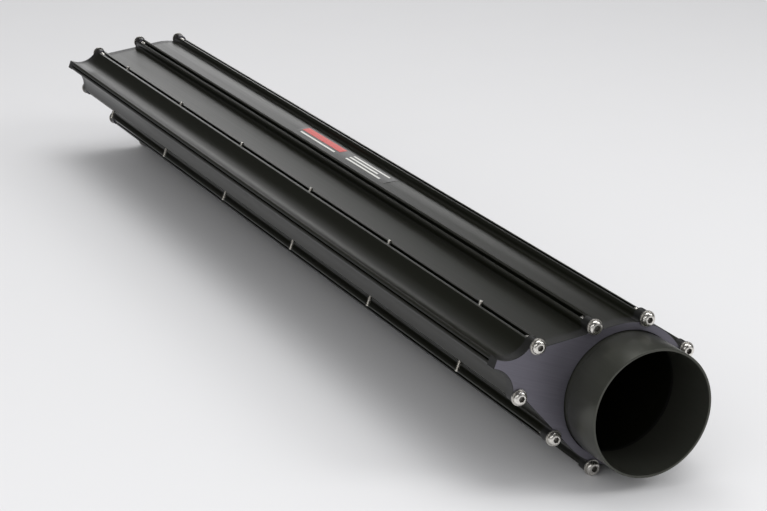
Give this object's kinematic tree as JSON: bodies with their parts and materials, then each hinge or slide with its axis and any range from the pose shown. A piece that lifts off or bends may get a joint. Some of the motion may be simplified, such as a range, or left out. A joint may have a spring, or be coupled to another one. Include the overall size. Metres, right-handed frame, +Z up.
{
  "type": "compressed air knife",
  "caption": "Long blower-fed air knife: a black teardrop extrusion with a nozzle slot along its front edge, ridged with screw bosses, plated at both ends, with a round inlet tube in one.",
  "frame": {"origin": "middle of the knife's overall length and depth, on the surface that its two lowest ridges rest on", "axes": "+X along the knife towards the inlet tube, +Y from the nozzle towards the back of the plenum, +Z up; the plane of symmetry of the section falls 19.3 degrees from the nozzle to the back"},
  "size_m": [0.9788, 0.166, 0.1197],
  "materials": {
    "black_anodised_extrusion": "satin black anodised",
    "anodised_plate": "brushed, dark anodised",
    "black_anodised_tube": "satin black anodised",
    "stainless_screw": "bright stainless",
    "stainless_washer": "bright stainless"
  },
  "bodies": {
    "root": {"closed_end_plate": "anodised_plate", "closed_screw_1": "stainless_screw", "closed_screw_2": "stainless_screw", "closed_screw_3": "stainless_screw", "closed_screw_4": "stainless_screw", "closed_screw_5": "stainless_screw", "closed_screw_6": "stainless_screw", "closed_screw_7": "stainless_screw", "closed_screw_8": "stainless_screw", "closed_screw_9": "stainless_screw", "closed_washer_1": "stainless_washer", "closed_washer_2": "stainless_washer", "closed_washer_3": "stainless_washer", "closed_washer_4": "stainless_washer", "closed_washer_5": "stainless_washer", "closed_washer_6": "stainless_washer", "closed_washer_7": "stainless_washer", "closed_washer_8": "stainless_washer", "closed_washer_9": "stainless_washer", "inlet_end_plate": "anodised_plate", "inlet_screw_1": "stainless_screw", "inlet_screw_2": "stainless_screw", "inlet_screw_3": "stainless_screw", "inlet_screw_4": "stainless_screw", "inlet_screw_5": "stainless_screw", "inlet_screw_6": "stainless_screw", "inlet_screw_7": "stainless_screw", "inlet_screw_8": "stainless_screw", "inlet_screw_9": "stainless_screw", "inlet_tube": "black_anodised_tube", "inlet_washer_1": "stainless_washer", "inlet_washer_2": "stainless_washer", "inlet_washer_3": "stainless_washer", "inlet_washer_4": "stainless_washer", "inlet_washer_5": "stainless_washer", "inlet_washer_6": "stainless_washer", "inlet_washer_7": "stainless_washer", "inlet_washer_8": "stainless_washer", "inlet_washer_9": "stainless_washer", "lip_screw_1": "stainless_screw", "lip_screw_2": "stainless_screw", "lip_screw_3": "stainless_screw", "lip_screw_4": "stainless_screw", "lip_screw_5": "stainless_screw", "lip_screw_6": "stainless_screw", "plenum_body": "black_anodised_extrusion"}
  },
  "joints": []
}
